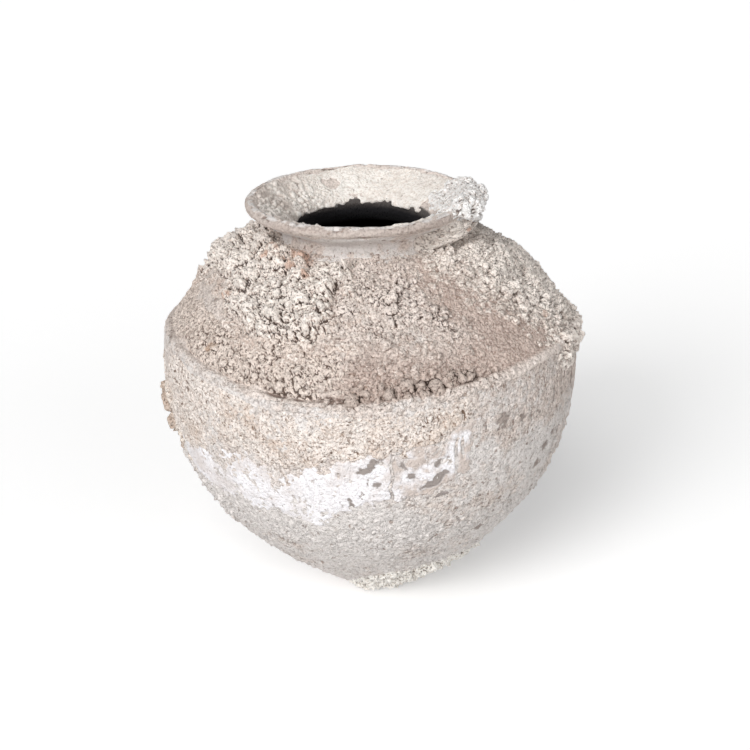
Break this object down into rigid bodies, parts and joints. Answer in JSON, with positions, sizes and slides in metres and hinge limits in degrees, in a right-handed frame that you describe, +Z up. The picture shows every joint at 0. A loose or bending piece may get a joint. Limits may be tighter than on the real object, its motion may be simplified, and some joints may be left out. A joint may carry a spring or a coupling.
{
  "type": "terracotta jar",
  "caption": "Hand-built carinated clay water jar with a small flat foot, short neck and wide flared rim, caked with lime wash, mud and nodular mortar crust.",
  "frame": {"origin": "middle of the flat foot, on the ground", "axes": "+Z up through the mouth, -Y towards the side the picture shows, +X to its right"},
  "size_m": [0.3387, 0.3262, 0.3392],
  "materials": {
    "terracotta": "unglazed fired clay, dusty, matt",
    "lime": "chalky lime, off-white, matt",
    "mud": "dried gritty mud, beige, matt",
    "crust": "rough nodular mortar crust, grey-beige, matt"
  },
  "bodies": {
    "root": {"lower_bowl": "terracotta", "shoulder_dome": "terracotta", "neck_and_rim": "terracotta", "mouth_lime_lining": "lime", "rim_mortar_lump": "lime", "belly_lime_wash": "lime", "shoulder_mud_skin": "mud", "belly_mud_skin": "mud", "shoulder_crust_left": "crust", "shoulder_crust_middle": "crust", "shoulder_crust_right": "crust", "ledge_grit": "crust", "ledge_crust_right": "crust", "neck_mortar_fill": "crust", "belly_crust_left": "crust", "foot_crust": "crust"}
  },
  "joints": []
}
